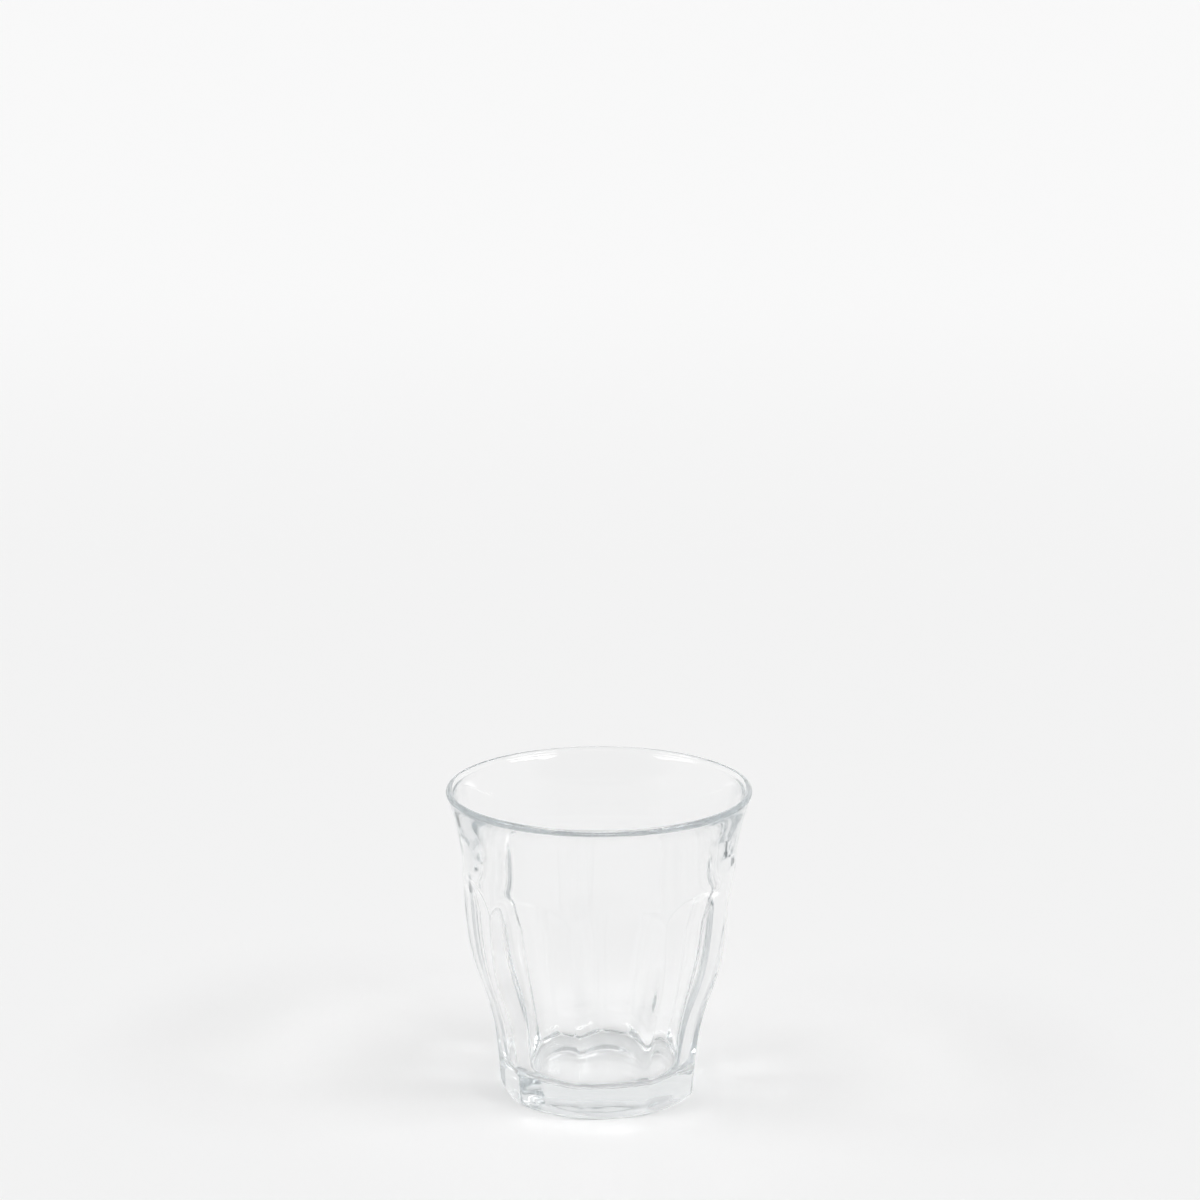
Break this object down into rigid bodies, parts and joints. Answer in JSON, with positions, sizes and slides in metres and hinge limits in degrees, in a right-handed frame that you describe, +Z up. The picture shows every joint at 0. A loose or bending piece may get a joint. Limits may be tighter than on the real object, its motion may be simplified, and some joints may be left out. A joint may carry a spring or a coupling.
{
  "type": "drinking glass",
  "caption": "Clear pressed-glass tumbler with flat panels that end in arches, a round flared collar with a rounded rim, and a heavy faceted foot, for drinks.",
  "frame": {"origin": "middle of the foot, on the plane of the standing ring", "axes": "+Z up along the axis of the glass; +X through the middle of one flat panel, so -X passes through a ridge"},
  "size_m": [0.086, 0.086, 0.0886],
  "materials": {
    "clear_glass": "clear, colourless, fire-polished pressed glass"
  },
  "bodies": {
    "root": {"foot": "clear_glass", "panelled_body": "clear_glass", "flared_collar": "clear_glass", "rim": "clear_glass"}
  },
  "joints": []
}
